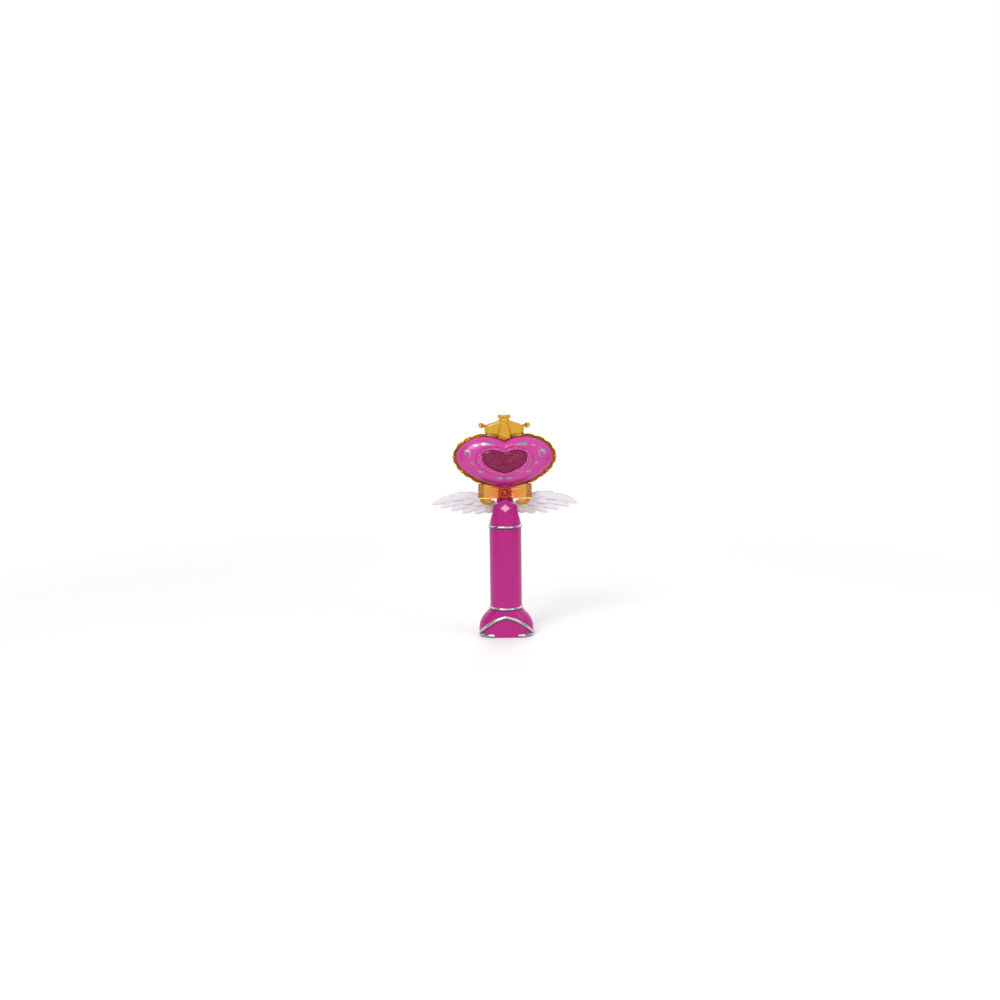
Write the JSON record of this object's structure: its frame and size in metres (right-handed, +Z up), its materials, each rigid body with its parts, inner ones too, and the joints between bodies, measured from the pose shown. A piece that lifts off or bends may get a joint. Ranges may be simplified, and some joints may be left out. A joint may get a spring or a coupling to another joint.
{
  "type": "toy magic wand",
  "caption": "Upright light-up toy wand: puffy heart head with lens, gold rim, crown, bow and wings on a tube handle with push button, battery bay and flared foot.",
  "frame": {"origin": "centre of the foot's flat underside, where the wand stands", "axes": "+Z up along the handle to the crown, -Y the face of the heart, +X to the right seen from the front"},
  "size_m": [0.1572, 0.0381, 0.2398],
  "materials": {
    "handle_abs": "moulded magenta-pink ABS, glossy",
    "heart_abs": "moulded bright pink ABS, glossy",
    "gold_metallised": "vacuum-metallised gold",
    "silver_metallised": "vacuum-metallised chrome",
    "amber_clear": "translucent amber polystyrene",
    "pearl_white": "pearl white moulded plastic with a pink cast",
    "lens_clear": "dark magenta transparent polystyrene",
    "bezel_clear": "pebbled pink transparent plastic",
    "button_pink": "pale pink moulded plastic",
    "screw_steel": "zinc plated steel",
    "spring_steel": "nickel plated steel",
    "board_laminate": "green circuit board laminate",
    "blob_epoxy": "black epoxy",
    "resistor_ceramic": "lacquered resistor bodies",
    "pill_rubber": "conductive rubber",
    "cell_can": "steel can in a plain printed sleeve",
    "led_clear": "clear epoxy lamp",
    "speaker_tin": "pressed steel frame",
    "speaker_paper": "black paper cone",
    "magnet_plate": "plated magnet cup",
    "wire_red": "red PVC insulation",
    "wire_black": "black PVC insulation",
    "wire_white": "white PVC insulation",
    "wire_yellow": "yellow PVC insulation"
  },
  "bodies": {
    "wand": {"pommel_front": "handle_abs", "pommel_rear": "handle_abs", "grip_front": "handle_abs", "grip_rear": "handle_abs", "neck_front": "handle_abs", "neck_rear": "handle_abs", "heart_face": "heart_abs", "heart_back": "heart_abs", "heart_rim": "gold_metallised", "upper_ring": "silver_metallised", "lower_ring": "silver_metallised", "pommel_trim": "silver_metallised", "reflector": "silver_metallised", "crown": "amber_clear", "bow": "amber_clear", "wing_left": "pearl_white", "wing_right": "pearl_white", "heart_lens": "lens_clear", "lens_bezel": "bezel_clear", "handle_screws": "screw_steel", "head_screws": "screw_steel", "button_spring": "spring_steel", "bridge_contact": "spring_steel", "positive_contact": "spring_steel", "negative_contact": "spring_steel", "circuit_board": "board_laminate", "led_board": "board_laminate", "chip_blob": "blob_epoxy", "resistors": "resistor_ceramic", "battery_left": "cell_can", "battery_right": "cell_can", "led": "led_clear", "speaker_frame": "speaker_tin", "speaker_cone": "speaker_paper", "speaker_magnet": "magnet_plate", "battery_lead_red": "wire_red", "battery_lead_black": "wire_black", "led_lead": "wire_white", "speaker_lead": "wire_yellow"},
    "button": {"diamond_button": "button_pink", "contact_pill": "pill_rubber"},
    "cover": {"battery_cover": "handle_abs"},
    "screw_upper": {"cover_screw_upper": "screw_steel"},
    "screw_lower": {"cover_screw_lower": "screw_steel"}
  },
  "joints": [
    {"name": "button_press", "type": "slide", "parent": "wand", "child": "button", "axis": [0, 1, 0], "range_m": [0, 0.0015], "stiffness_N_per_m": 600, "deforming": ["button_spring"]},
    {"name": "battery_cover_lift", "type": "slide", "parent": "wand", "child": "cover", "axis": [0, 1, 0], "range_m": [0, 0.02]},
    {"name": "cover_screw_upper_turn", "type": "hinge", "parent": "cover", "child": "screw_upper", "pos_m": [0, 0.0123, 0.10745], "axis": [0, 1, 0], "continuous": true},
    {"name": "cover_screw_lower_turn", "type": "hinge", "parent": "cover", "child": "screw_lower", "pos_m": [0, 0.0123, 0.04355], "axis": [0, 1, 0], "continuous": true}
  ]
}
